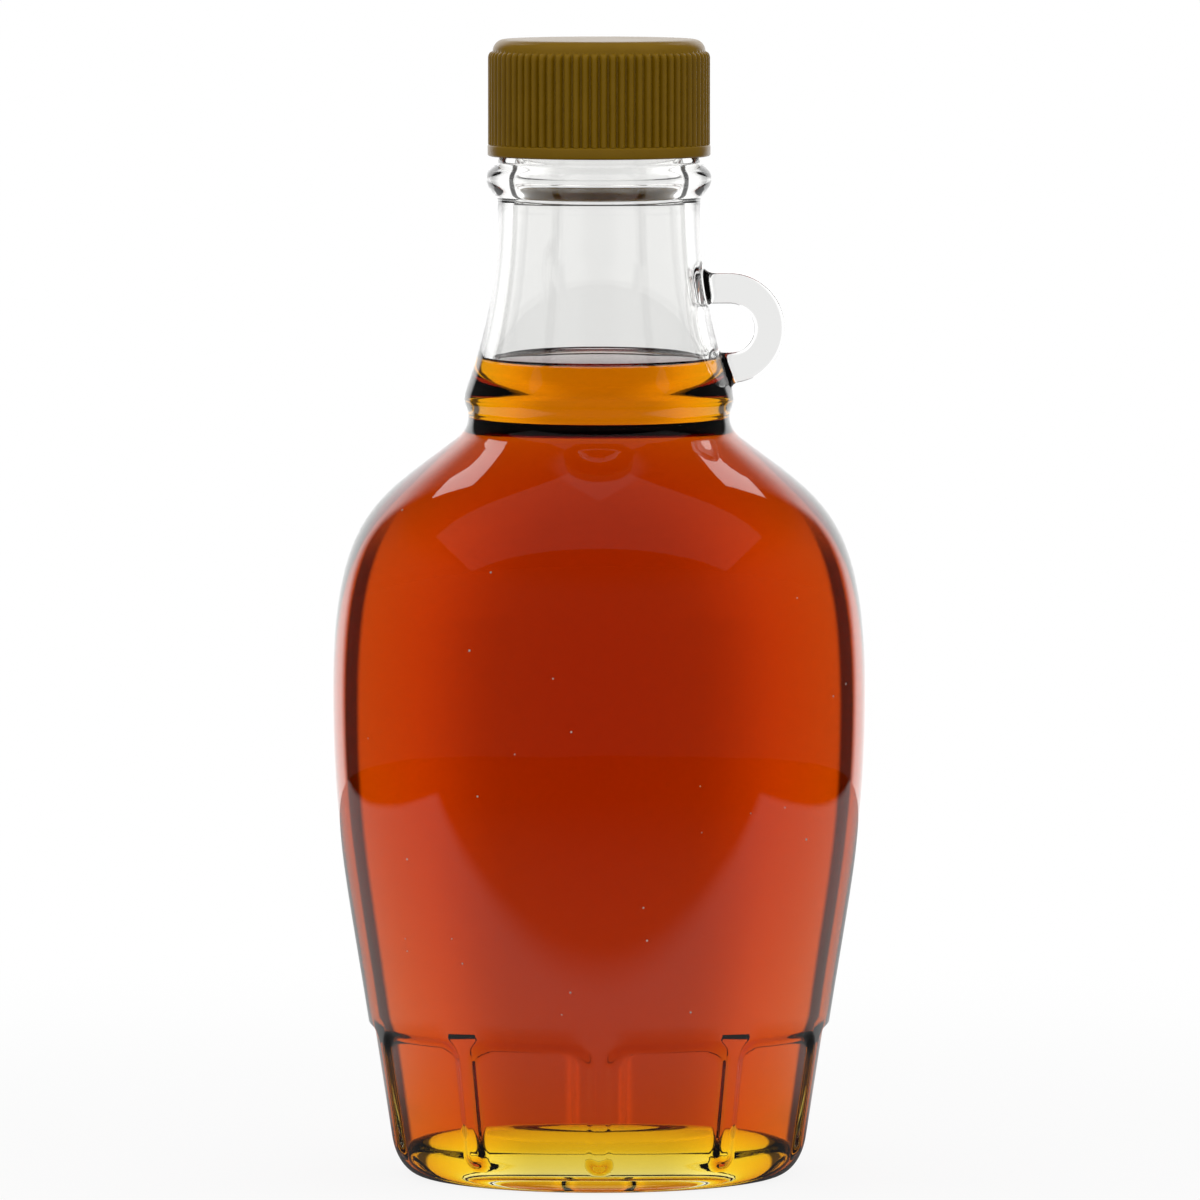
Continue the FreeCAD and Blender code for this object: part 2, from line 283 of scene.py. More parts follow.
def new_material(name: str) -> tuple[bpy.types.Material, Tree]:
    """Returns an empty node material and its tree."""
    material = bpy.data.materials.new(name)
    material.use_nodes = True
    tree = material.node_tree
    tree.nodes.clear()
    return material, tree


# ---- finishes


class Ior(Enum):
    """Refractive indices, each against what lies on the other side of the surface."""

    GLASS_IN_AIR = 1.52
    SYRUP_IN_AIR = 1.46
    GLASS_IN_SYRUP = 1.52 / 1.46
    SAME_BOTH_SIDES = 1.0


@dataclass(frozen=True)
class Wave:
    """An unevenness of a surface, drawn by a noise of a real size."""

    size_mm: float
    detail: float
    roughness: float = 0.5
    height_mm: float = 0.0

    def inputs(self, place: Socket) -> dict[str, Any]:
        """Returns the noise node's inputs."""
        scale = 1 / (self.size_mm * MM)
        return {"Vector": place, "Scale": scale, "Detail": self.detail, "Roughness": self.roughness}

    def relief(self, noise: Node, strength: float = 1.0) -> dict[str, Any]:
        """Returns the bump node's inputs."""
        return {"Height": noise, "Distance": self.height_mm * MM, "Strength": strength}


def clear(ior: Ior, tint: str = "#FFFFFF") -> dict[str, Any]:
    """Returns the shader's inputs for a clear, mirror-smooth stuff."""
    look = {"Base Color": linear(tint), "IOR": ior.value}
    return {**look, "Roughness": 0.0, "Transmission Weight": 1.0}


@dataclass(frozen=True)
class FlintGlass:
    """Soda-lime flint glass, blown in a mould.

    It is clear with a breath of grey green, mirror smooth, and its skin is faintly wavy where it
    set against the mould, so that reflections and what lies behind it swim a little.
    """

    name: str = "flint_glass"
    tint: str = "#FCFCFB"
    ior: Ior = Ior.GLASS_IN_AIR
    ripple: Wave = Wave(size_mm=9.0, detail=1.0, roughness=0.4, height_mm=0.012)
    fine: Wave = Wave(size_mm=2.2, detail=2.0, roughness=0.5, height_mm=0.0012)

    def make(self) -> bpy.types.Material:
        """Returns the material."""
        material, tree = new_material(self.name)
        place = add(tree, "TexCoord").outputs["Object"]
        under: dict[str, Node] = {}
        for wave in (self.ripple, self.fine):
            noise = add(tree, "TexNoise", wave.inputs(place))
            under = {"Normal": add(tree, "Bump", {**wave.relief(noise), **under})}
        shader = add(tree, "BsdfPrincipled", {**clear(self.ior, self.tint), **under})
        add(tree, "OutputMaterial", {"Surface": shader})
        return material


@dataclass(frozen=True)
class MapleSyrup:
    """Boiled-down amber syrup: a clear brown liquid that darkens with its depth.

    Thin layers are yellow, the full width of the flask is deep orange brown.
    """

    name: str = "amber_syrup"
    depth_colour: str = "#FBEE3D"
    density: float = 430.0
    ior: Ior = Ior.SAME_BOTH_SIDES

    def make(self) -> bpy.types.Material:
        """Returns the material."""
        material, tree = new_material(self.name)
        shader = add(tree, "BsdfPrincipled", clear(self.ior))
        depths = {"Color": linear(self.depth_colour), "Density": self.density}
        depth = add(tree, "VolumeAbsorption", depths)
        add(tree, "OutputMaterial", {"Surface": shader, "Volume": depth})
        return material


@dataclass(frozen=True)
class SyrupSkin:
    """The free surface of the syrup, still and glossy, with a faint unevenness from its thickness."""

    name: str = "syrup_surface"
    ior: Ior = Ior.SYRUP_IN_AIR
    swell: Wave = Wave(size_mm=6.0, detail=0.0, height_mm=0.004)

    def make(self) -> bpy.types.Material:
        """Returns the material."""
        material, tree = new_material(self.name)
        place = add(tree, "TexCoord").outputs["Object"]
        swell = add(tree, "TexNoise", self.swell.inputs(place))
        bump = add(tree, "Bump", self.swell.relief(swell))
        shader = add(tree, "BsdfPrincipled", {**clear(self.ior), "Normal": bump})
        add(tree, "OutputMaterial", {"Surface": shader})
        return material


@dataclass(frozen=True)
class GoldPlastic:
    """Polypropylene coloured with gold pigment, injection moulded.

    The colour is an olive gold, a little uneven, with a soft satin gloss and a fine moulded grain.
    """

    name: str = "gold_polypropylene"
    pale: str = "#936F04"
    deep: str = "#826102"
    cloud: Wave = Wave(size_mm=4.0, detail=3.0, roughness=0.6)
    grain: Wave = Wave(size_mm=0.25, detail=2.0, height_mm=0.004)
    grain_strength: float = 0.6
    roughness: float = 0.3
    roughness_spread: float = 0.05
    ior: float = 1.49
    specular: float = 0.28

    def make(self) -> bpy.types.Material:
        """Returns the material."""
        material, tree = new_material(self.name)
        place = add(tree, "TexCoord").outputs["Object"]
        cloud = add(tree, "TexNoise", self.cloud.inputs(place))
        grain = add(tree, "TexNoise", self.grain.inputs(place))
        colours = {"Factor": cloud, 6: linear(self.deep), 7: linear(self.pale)}
        colour = add(tree, "Mix", colours, data_type="RGBA")
        low, high = self.roughness - self.roughness_spread, self.roughness + self.roughness_spread
        gloss = add(tree, "MapRange", {"Value": cloud, "To Min": low, "To Max": high})
        bump = add(tree, "Bump", self.grain.relief(grain, self.grain_strength))
        look = {
            "Base Color": colour.outputs[2], "Roughness": gloss, "IOR": self.ior,
            "Specular IOR Level": self.specular, "Normal": bump,
        }
        shader = add(tree, "BsdfPrincipled", look)
        add(tree, "OutputMaterial", {"Surface": shader})
        return material


# ---- the flask's outline


@dataclass(frozen=True)
class FlaskShape:
    """Sizes of the flask, in mm, and the outlines that follow from them."""

    heel_z: float = 5.0
    panel_top_z: float = 19.6
    ledge_z: float = 20.7
    belly_z: float = 65.4
    shoulder_z: float = 99.8
    groove_z: float = 102.4
    bead_z: float = 104.9
    flare_z: float = 108.0
    neck_z: float = 129.7
    collar_z: float = 134.5
    waist_z: float = 137.1
    finish_z: float = 138.3
    mouth_z: float = 151.7
    fill_z: float = 109.5

    ledge_r: float = 31.1
    body_r: float = 36.0
    groove_r: float = 17.65
    bead_r: float = 18.2
    flare_r: float = 17.3
    neck_r: float = 13.64
    collar_r: float = 15.2
    waist_r: float = 13.6
    finish_r: float = 12.7
    throat_r: float = 11.6
    mouth_r: float = 10.2
    heel_w: float = 3.965
    collar_bead_r: float = 2.1
    lip_r: float = 0.7

    wall_taper: float = 0.155
    shoulder_slope: float = 1.3
    flare_slope: float = 0.35
    belly_pull: float = 18.0
    shoulder_pull: float = 24.5
    shoulder_foot_pull: float = 8.2
    flare_pull: float = 5.0
    neck_pull: float = 9.0

    bearing_w: float = 2.0
    punt_h: float = 1.6
    body_wall: float = 3.3
    neck_wall: float = 2.25
    floor_h: float = 2.7
    floor_crown: float = 6.3
    crown_flat: float = 1.1
    crown_foot: float = 0.7
    floor_corner_r: float = 3.5
    throat_h: float = 6.0
    panel_depth: float = 0.7

    neck_row_h: float = 0.55
    neck_row_z: float = 105.6
    neck_rows: int = 44
    flare_handle: float = 0.2

    def cone_r(self, height: float) -> float:
        """Radius of the ribs at a height."""
        return self.ledge_r - self.wall_taper * (self.ledge_z - height)

    def panel_r(self, height: float) -> float:
        """Radius of the panels' floors at a height."""
        return self.cone_r(height) - self.panel_depth

    def foot_r(self) -> float:
        """Outer radius of the bearing ring."""
        return self.panel_r(self.heel_z) - self.heel_w

    def groove_blend(self, depth: float, rows: int) -> Bend:
        """Returns the hollow arc under the groove, moved into the glass by a depth in mm."""
        angle = math.degrees(math.atan(self.shoulder_slope))
        radius = (self.groove_z - self.shoulder_z) / math.sin(math.radians(angle)) + depth
        centre = (self.groove_r - depth + radius, self.groove_z)
        return round_bend(centre, radius, 180 + angle, 180, rows)

    def neck_bends(self) -> list[Bend]:
        """Returns the stretches from the crest of the lower bead up to the narrowest place."""
        handle = (self.flare_z - self.bead_z) * self.flare_handle
        bead, flare = (self.bead_r, self.bead_z), (self.flare_r, self.flare_z)
        neck = (self.neck_r, self.neck_z)
        leave = (self.bead_r, self.bead_z + handle)
        arrive = (self.flare_r + self.flare_slope * handle, self.flare_z - handle)
        rise = (self.flare_r - self.flare_slope * self.flare_pull, self.flare_z + self.flare_pull)
        return [
            Bend(bead, leave, arrive, flare, 6),
            Bend(flare, rise, (self.neck_r, self.neck_z - self.neck_pull), neck, 30),
        ]

    def neck_radius(self, height: float) -> float:
        """Radius of the outside between the lower bead and the narrowest place."""
        bead, neck = self.neck_bends()
        bend = bead if height < self.flare_z else neck
        return bend.at(bend.share_at(height))[0]

    def belly_bend(self, ledge: Point, belly: Point, rows: int) -> Bend:
        """Returns the stretch from the ledge up to the widest place."""
        leave = moved(ledge, self.wall_taper * self.belly_pull, self.belly_pull)
        return Bend(ledge, leave, moved(belly, 0.0, -self.belly_pull), belly, rows)

    def shoulder_bend(self, belly: Point, foot: Point, depth: float, rows: int) -> Bend:
        """Returns the shoulder, from the widest place up to the foot of the groove.

        Args:
            belly: The widest place.
            foot: Where the hollow arc under the groove starts.
            depth: How far the stretch lies in from the outside, in mm.
            rows: How many rows of faces it gives.

        Returns:
            The stretch.
        """
        leave = (belly[0], belly[1] + self.shoulder_pull - depth * 0.5)
        pull = self.shoulder_foot_pull - depth * 0.3
        return Bend(belly, leave, moved(foot, self.shoulder_slope * pull, -pull), foot, rows)

    def outside(self) -> list[Bend]:
        """Returns the outside from the middle of the foot's hollow up to the rim of the mouth."""
        heel = (self.panel_r(self.heel_z), self.heel_z)
        heel_foot = (heel[0] - self.wall_taper * self.heel_z * 0.6, self.heel_z * 0.4)
        foot = (self.foot_r(), 0.0)
        bearing = (foot[0] - self.bearing_w, 0.0)
        punt = (bearing[0] * 0.7, self.punt_h)
        panel_top = (self.panel_r(self.panel_top_z), self.panel_top_z)
        ledge, belly = (self.ledge_r, self.ledge_z), (self.body_r, self.belly_z)
        blend = self.groove_blend(0.0, 6)
        groove, bead = (self.groove_r, self.groove_z), (self.bead_r, self.bead_z)
        bead_h = self.bead_z - self.groove_z
        neck, bump_r = (self.neck_r, self.neck_z), self.collar_bead_r
        under = (self.neck_r + 0.1, self.collar_z - bump_r * 1.35)
        under_leave = (self.neck_r + 0.2, self.collar_z - bump_r)
        crest, waist = (self.collar_r, self.collar_z), (self.waist_r, self.waist_z)
        finish = (self.finish_r, self.finish_z)
        lip, lip_z = self.lip_r, self.mouth_z - self.lip_r
        neck_rows = [self.neck_row_z + self.neck_row_h * i for i in range(self.neck_rows)]
        return [
            Bend((0.0, self.punt_h), punt, (bearing[0] * 0.92, self.punt_h * 0.5), bearing, 10),
            straight(bearing, foot, 3),
            Bend(foot, moved(foot, self.heel_w * 0.45, 0.0), heel_foot, heel, 16),
            straight(heel, panel_top, 32),
            straight(panel_top, ledge, 5),
            self.belly_bend(ledge, belly, 24),
            self.shoulder_bend(belly, blend.start, 0.0, 26),
            blend,
            Bend(groove, moved(groove, 0.0, bead_h * 0.45), moved(bead, 0.0, -bead_h * 0.4), bead, 7),
            *evened(self.neck_bends(), neck_rows),
            Bend(neck, moved(neck, 0.0, 0.5), (self.neck_r + 0.05, under[1] - 0.5), under, 3),
            Bend(under, under_leave, moved(crest, 0.0, -bump_r * 0.75), crest, 10),
            Bend(crest, moved(crest, 0.0, bump_r * 0.75), moved(waist, 0.0, -bump_r * 0.5), waist, 10),
            straight(waist, finish, 2),
            straight(finish, (self.finish_r, lip_z), 2),
            round_bend((self.finish_r - lip, lip_z), lip, 0, 90, 4),
        ]

    def cavity(self, reach: float = 0.0) -> list[Bend]:
        """Returns the hollow's outline from the middle of the floor up to the mouth.

        Args:
            reach: How far the outline lies in the glass, in mm.

        Returns:
            The stretches.
        """
        wall = self.body_wall - reach
        corner, floor_z = self.floor_corner_r, self.floor_h - reach
        crown_z = floor_z + self.floor_crown
        start_z = self.floor_h + corner
        wall_start = (self.panel_r(start_z) - wall, start_z)
        edge = (wall_start[0] - corner, floor_z)
        crown, crown_foot = (edge[0] * self.crown_flat, crown_z), (edge[0] * self.crown_foot, floor_z)
        corner_end = moved(wall_start, -self.wall_taper * corner * 0.45, -corner * 0.45)
        ledge, belly = (self.ledge_r - wall, self.ledge_z), (self.body_r - wall, self.belly_z)
        blend = self.groove_blend(wall, 6)
        groove = blend.end
        fill = (self.neck_radius(self.fill_z) - self.neck_wall + reach, self.fill_z)
        pull_r, pull_z = moved(groove, 0.0, (self.fill_z - groove[1]) * 0.5)
        eased = [(r + (pull_r - r) * 2 / 3, z + (pull_z - z) * 2 / 3) for r, z in (groove, fill)]
        fill_r = fill[0] - (fill[0] - self.throat_r) * 0.55
        fill_leave = (fill_r, self.fill_z + (self.neck_z - self.fill_z) * 0.35)
        throat = (self.throat_r + reach, self.collar_z)
        throat_foot = (throat[0], self.collar_z - (self.collar_z - self.fill_z) * 0.4)
        mouth = (self.mouth_r + reach, self.collar_z + self.throat_h)
        middle_z = self.collar_z + self.throat_h * 0.5
        return [
            Bend((0.0, crown_z), crown, crown_foot, edge, 14),
            Bend(edge, moved(edge, corner * 0.55, 0.0), corner_end, wall_start, 9),
            straight(wall_start, ledge, 4),
            self.belly_bend(ledge, belly, 14),
            self.shoulder_bend(belly, blend.start, wall, 16),
            blend,
            Bend(groove, *eased, fill, 7),
            Bend(fill, fill_leave, throat_foot, throat, 14),
            Bend(throat, (throat[0], middle_z), (mouth[0], middle_z), mouth, 5),
            straight(mouth, (mouth[0], self.mouth_z), 2),
        ]


# ---- the flask


@dataclass
class FingerRing:
    """The small glass ring at the neck, a strand that leaves the neck and comes back to it, in mm."""

    shape: FlaskShape
    centre_x: float = 17.6
    centre_z: float = 114.4
    hole_r: float = 3.3
    outer_r: float = 7.4
    depth: float = 5.0
    edge_r: float = 0.95
    root_w: float = 1.6
    hole_root_w: float = 0.65
    foot_share: float = 0.75
    half_turn: float = 15.6
    patch_rows: int = 13
    skin_depth: float = 0.7
    search_from: float = 10.0
    upper_row: int = 20
    root_steps: int = 6
    run_steps: int = 40

    def path_r(self) -> float:
        """Radius of the strand's middle line."""
        return (self.hole_r + self.outer_r) / 2

    def corners(self, up: bool) -> tuple[float, float]:
        """Lowest and highest row, in mm, of the patch of neck that a root takes the place of."""
        low = self.shape.neck_row_z + (self.shape.neck_row_h * self.upper_row if up else 0.0)
        return low, low + self.shape.neck_row_h * self.patch_rows

    def section(self, across: float, out: float) -> tuple[float, float, float, float]:
        """Maps a point of a unit square's rim to the strand's rounded section.

        Args:
            across: Place along Y, -1 to 1.
            out: Place away from the ring's centre, -1 to 1.

        Returns:
            The point across and outwards in mm, and its outward direction.
        """
        half_y, half_out = self.depth / 2, (self.outer_r - self.hole_r) / 2
        y, o = across * half_y, out * half_out
        flat_y, flat_o = half_y - self.edge_r, half_out - self.edge_r
        core_y, core_o = max(-flat_y, min(flat_y, y)), max(-flat_o, min(flat_o, o))
        step_y, step_o = y - core_y, o - core_o
        length = math.hypot(step_y, step_o)
        step_y, step_o = step_y / length, step_o / length
        return core_y + self.edge_r * step_y, core_o + self.edge_r * step_o, step_y, step_o

    def on_path(self, y: float, out: float, run: float) -> Vector:
        """Returns the strand's surface at a distance along its middle line from the axis, in mm."""
        radius = self.path_r()
        turn = math.pi * radius
        if run < self.centre_x:
            return Vector((run, y, self.centre_z + radius + out))
        if run > self.centre_x + turn:
            return Vector((2 * self.centre_x + turn - run, y, self.centre_z - radius - out))
        angle = math.pi / 2 - (run - self.centre_x) / radius
        along, up = (radius + out) * math.cos(angle), (radius + out) * math.sin(angle)
        return Vector((self.centre_x + along, y, self.centre_z + up))

    def out_dir(self, run: float, step_y: float, step_out: float) -> Vector:
        """Returns the outward direction of the section at a distance along the path."""
        here, beyond = self.on_path(0, 0, run), self.on_path(0, 1, run)
        return Vector((0, step_y, 0)) + (beyond - here) * step_out

    def inside_neck(self, place: Vector) -> bool:
        """True if a point, in mm, lies inside the neck's outside."""
        return math.hypot(place.x, place.y) < self.shape.neck_radius(place.z)

    def meeting(self, y: float, out: float, inner: float, outer: float) -> float:
        """Returns the distance along the path at which the strand's surface leaves the neck."""
        return crossing(inner, outer, lambda run: self.inside_neck(self.on_path(y, out, run)))

    def on_neck(self, place: Vector) -> Vector:
        """Returns a point moved along X on to the neck's outside."""
        radius = self.shape.neck_radius(place.z)
        return Vector((math.sqrt(radius**2 - place.y**2), place.y, place.z))

    def loops(self, rim: Sequence[tuple[float, float]]) -> list[list[Vector]]:
        """Returns the strand's loops from the upper root to the lower one.

        Args:
            rim: For each point of a loop its place on the rim of a unit square.

        Returns:
            One list of points, in mm, for each loop.
        """
        total = 2 * self.centre_x + math.pi * self.path_r()
        middle = total / 2
        top, foot, run = [], [], []
        shares = [index / self.root_steps for index in range(self.root_steps + 1)]
        for across, out in rim:
            y, o, step_y, step_o = self.section(across, out)
            width = self.root_w + (self.root_w - self.hole_root_w) * min(0.0, step_o)
            first = self.meeting(y, o, self.search_from, middle)
            last = self.meeting(y, o, total - self.search_from, middle)
            for place, sign, store in ((first, 1, top), (last, -1, foot)):
                bend_w = width if sign > 0 else width * self.foot_share
                fold = self.on_path(y, o, place)
                leave = self.on_neck(fold + self.out_dir(place, step_y, step_o) * bend_w)
                join = self.on_path(y, o, place + sign * bend_w)
                store.append(
                    [leave * (1 - t) ** 2 + fold * 2 * (1 - t) * t + join * t**2 for t in shares]
                )
            start, end = first + width, last - width * self.foot_share
            stops = [start + (end - start) * i / self.run_steps for i in range(1, self.run_steps)]
            run.append([self.on_path(y, o, stop) for stop in stops])
        loops = [[points[i] for points in top] for i in range(self.root_steps + 1)]
        loops += [[points[i] for points in run] for i in range(self.run_steps - 1)]
        loops += [[points[i] for points in foot] for i in range(self.root_steps, -1, -1)]
        return loops

    def open_patch(self, skin: bmesh.types.BMesh, up: bool) -> list[Vert]:
        """Cuts the neck's patch for one root and returns its rim in order round the root.

        Args:
            skin: The flask's mesh in edit mode.
            up: True for the upper root.

        Returns:
            The rim's points, from the outer corner on +Y onwards.
        """
        low, high = (edge * MM for edge in self.corners(up))
        faces = []
        for face in skin.faces:
            place = face.calc_center_median()
            if not low < place.z < high or place.x < 0:
                continue
            skin_r = self.shape.neck_radius(place.z / MM) - self.skin_depth
            outside = math.hypot(place.x, place.y) > skin_r * MM
            if outside and abs(math.degrees(math.atan2(place.y, place.x))) < self.half_turn:
                faces.append(face)
        bmesh.ops.delete(skin, geom=faces, context="FACES")
        rim = {v for e in skin.edges if e.is_boundary for v in e.verts}
        rim = {v for v in rim if low - 1e-6 < v.co.z < high + 1e-6}
        middle_z, sign = (low + high) / 2, 1 if up else -1
        half_y = max(v.co.y for v in rim)

        def turn(vert: Vert) -> float:
            out = (vert.co.z - middle_z) / (high - low) * 2 * sign
            return math.atan2(out, vert.co.y / half_y) % (2 * math.pi)

        return sorted(rim, key=turn)

    def grow(self, flask: Piece) -> None:
        """Grows the ring out of the flask's neck as one skin with it."""
        pick(flask)
        bpy.ops.object.mode_set(mode="EDIT")
        skin = bmesh.from_edit_mesh(flask.data)
        skin.faces.ensure_lookup_table()
        rims = [self.open_patch(skin, up) for up in (True, False)]
        log.info("ring roots of %d and %d points", len(rims[0]), len(rims[1]))
        low, high = self.corners(True)
        unit = []
        for vert in rims[0]:
            sine = vert.co.y / math.hypot(vert.co.x, vert.co.y)
            across = math.degrees(math.asin(max(-1, min(1, sine))))
            unit.append((across, (vert.co.z / MM - (low + high) / 2) / ((high - low) / 2)))
        widest = max(across for across, _ in unit)
        square = [(across / widest, out) for across, out in unit]
        for vert in skin.verts:
            vert.select = False
        rows: list[list[Vert]] = [rims[0]]
        for loop in self.loops(square):
            rows.append([skin.verts.new(place * MM) for place in loop])
        rows.append(rims[1])
        for one, other in zip(rows, rows[1:]):
            for index in range(len(one)):
                after = (index + 1) % len(one)
                skin.faces.new((one[index], one[after], other[after], other[index]))
        bmesh.update_edit_mesh(flask.data)
        tidy_skin()


@dataclass
class Flask:
    """The glass flask: its skin with the pressed base panels, the ring, and the seeds in its wall."""

    shape: FlaskShape = field(default_factory=FlaskShape)
    rib_count: int = 10
    rib_w: float = 2.6
    rib_corner_r: float = 2.9
    frame_slope: float = 1.4
    rib_end_z: float = 3.6
    seed_draw: int = 7
    seed_count: int = 26
    seed_heights: Point = (22.0, 92.0)
    seed_spread: float = 1.2
    seed_sizes: Point = (0.09, 0.17)
    seed_depths: Point = (0.7, 1.5)
    fine_sweep: float = 9.0
    wet_top: float = 0.6

    def sweeps(self) -> list[Sweep]:
        """Returns the lathe's steps, fine at the ribs and wider on the panels."""
        fine, pitch = self.fine_sweep, 360.0 / self.rib_count
        wide = pitch - fine
        turn = [Sweep(wide / 2, 8), Sweep(fine, 16)]
        for _ in range(self.rib_count - 1):
            turn += [Sweep(wide, 16), Sweep(fine, 16)]
        return turn + [Sweep(wide / 2, 8)]

    def panel_share(self, angle: float, height: float) -> float:
        """How deep in a panel a place of the base lies.

        Args:
            angle: Angle round the axis in radians.
            height: Height in mm.

        Returns:
            0 on ribs and above the frame, 1 on a panel's floor.
        """
        pitch = 2 * math.pi / self.rib_count
        from_rib = (angle + math.pi / 2 + pitch / 2) % pitch - pitch / 2
        radius = self.shape.cone_r(height)
        side = abs(from_rib) * radius - self.rib_w / 2
        foot_z = self.rib_end_z + self.rib_w / 2
        if height < foot_z:
            inside = math.hypot(from_rib * radius, height - foot_z) - self.rib_w / 2
        else:
            top = (self.shape.ledge_z + self.shape.panel_top_z) / 2 - height
            corner = self.rib_corner_r
            if side < corner and top < corner:
                inside = corner - math.hypot(corner - side, corner - top)
            else:
                inside = min(side, top)
        return smooth_step(inside / self.frame_slope + 0.5)

    def press_panels(self, flask: Piece) -> None:
        """Presses the panels into the base, or raises the ribs where the heel rounds off."""
        shape = self.shape
        for vert in flask.data.vertices:
            x, y, z = (c / MM for c in vert.co)
            radius = math.hypot(x, y)
            least_r = shape.panel_r(z) - 1.0 if z > shape.heel_z else shape.foot_r() + 0.5
            if not 0.4 < z < shape.ledge_z - 0.02 or radius < least_r:
                continue
            share = self.panel_share(math.atan2(y, x), z)
            if z >= shape.heel_z:
                new = shape.cone_r(z) - shape.panel_depth * share
            else:
                new = radius + (shape.cone_r(z) - radius) * (1 - share)
            vert.co.x *= new / radius
            vert.co.y *= new / radius

    def seeds(self) -> Piece:
        """Returns the tiny air bubbles caught in the wall, as hollows that face inwards."""
        draw = random.Random(self.seed_draw)
        belly, shoulder = self.shape.outside()[5:7]
        clear_selection()
        made = []
        for _ in range(self.seed_count):
            height = draw.uniform(*self.seed_heights)
            angle = -math.pi / 2 + draw.uniform(-self.seed_spread, self.seed_spread)
            size = draw.uniform(*self.seed_sizes)
            depth = draw.uniform(*self.seed_depths)
            bend = belly if height < self.shape.belly_z else shoulder
            radius = bend.at(bend.share_at(height))[0] - depth
            place = (radius * math.cos(angle) * MM, radius * math.sin(angle) * MM, height * MM)
            bpy.ops.mesh.primitive_ico_sphere_add(subdivisions=2, radius=size * MM, location=place)
            made.append(bpy.context.object)
        pick(*made)
        bpy.ops.object.join()
        bpy.ops.object.transform_apply(location=True, rotation=True, scale=True)
        bpy.ops.object.mode_set(mode="EDIT")
        bpy.ops.mesh.select_all(action="SELECT")
        bpy.ops.mesh.flip_normals()
        bpy.ops.object.mode_set(mode="OBJECT")
        bpy.ops.object.shade_smooth()
        return made[0]

    def wet(self, flask: Piece) -> None:
        """Gives the inside below the filling's level the finish of glass against syrup."""
        shape = self.shape
        marks = [bend.at(i / 16) for bend in shape.outside()[2:] for i in range(17)]
        radii, heights = [m[0] for m in marks], [m[1] for m in marks]
        level = shape.fill_z + self.wet_top
        for face in flask.data.polygons:
            height = face.center.z / MM
            if not shape.floor_h - 0.3 < height < level:
                continue
            outer = radii[bisect.bisect_left(heights, height)]
            if math.hypot(face.center.x, face.center.y) / MM < outer - shape.neck_wall * 0.6:
                face.material_index = 1

    def build(self) -> Piece:
        """Returns the finished flask."""
        shape = self.shape
        outside, inside = shape.outside(), [b.turned_round() for b in reversed(shape.cavity())]
        rim = straight(outside[-1].end, inside[0].start, 3)
        flask = lathe("flask_glass", [*outside, rim, *inside], self.sweeps())
        self.press_panels(flask)
        FingerRing(shape).grow(flask)
        flask.data.materials.append(FlintGlass().make())
        flask.data.materials.append(
            FlintGlass(name="flint_glass_against_syrup", tint="#FFFFFF", ior=Ior.GLASS_IN_SYRUP).make()
        )
        self.wet(flask)
        pick(flask, self.seeds())
        bpy.ops.object.join()
        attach(flask, "root")
        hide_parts("bottle")
        return flask


# ---- the filling


@dataclass
class Filling:
    """The syrup up to its level, and the skin of its free surface with the rim that climbs the wall."""

    shape: FlaskShape = field(default_factory=FlaskShape)
    reach: float = 0.06
    skin_h: float = 0.4
    climb_h: float = 0.6
    climb_w: float = 1.1

    def body(self) -> Piece:
        """Returns the syrup itself, which reaches just into the glass."""
        wall = self.shape.cavity(self.reach)[:7]
        top_z = self.shape.fill_z - self.skin_h / 2
        share = wall[-1].share_at(top_z)
        cut = [wall[-1].at(share * i / 6) for i in range(7)]
        bends = wall[:-1] + linked(cut)
        bends.append(straight(cut[-1], (0.0, cut[-1][1]), 6))
        piece = lathe("syrup_filling", bends, [Sweep(360, 180)])
        piece.data.materials.append(MapleSyrup().make())
        return piece

    def skin(self) -> Piece:
        """Returns the free surface, a thin layer whose upper side is what shows."""
        shape = self.shape
        climb = shape.cavity(self.reach)[7]
        wall_r = climb.start[0]
        level, low = shape.fill_z, shape.fill_z - self.skin_h
        high = climb.at(climb.share_at(level + self.climb_h))
        bends = [
            straight((0.0, low), (wall_r, low), 6),
            straight((wall_r, low), (wall_r, level), 1),
            straight((wall_r, level), high, 2),
            Bend(
                high, (high[0] - 0.1, level + self.climb_h * 0.3),
                (high[0] - self.climb_w * 0.5, level), (wall_r - self.climb_w, level), 10,
            ),
            straight((wall_r - self.climb_w, level), (0.0, level), 8),
        ]
        piece = lathe("syrup_surface", bends, [Sweep(360, 180)])
        piece.data.materials.append(SyrupSkin().make())
        piece.data.materials.append(
            SyrupSkin("syrup_below_surface", Ior.SAME_BOTH_SIDES, Wave(6.0, 0.0)).make()
        )
        for face in piece.data.polygons:
            if face.normal.z < 0.05 or face.center.z < (level - 0.01) * MM:
                face.material_index = 1
        return piece

    def build(self) -> list[Piece]:
        """Returns the filling's two pieces."""
        pieces = [self.body(), self.skin()]
        for piece in pieces:
            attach(piece, "root")
            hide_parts("syrup")
        return pieces


# ---- the cap


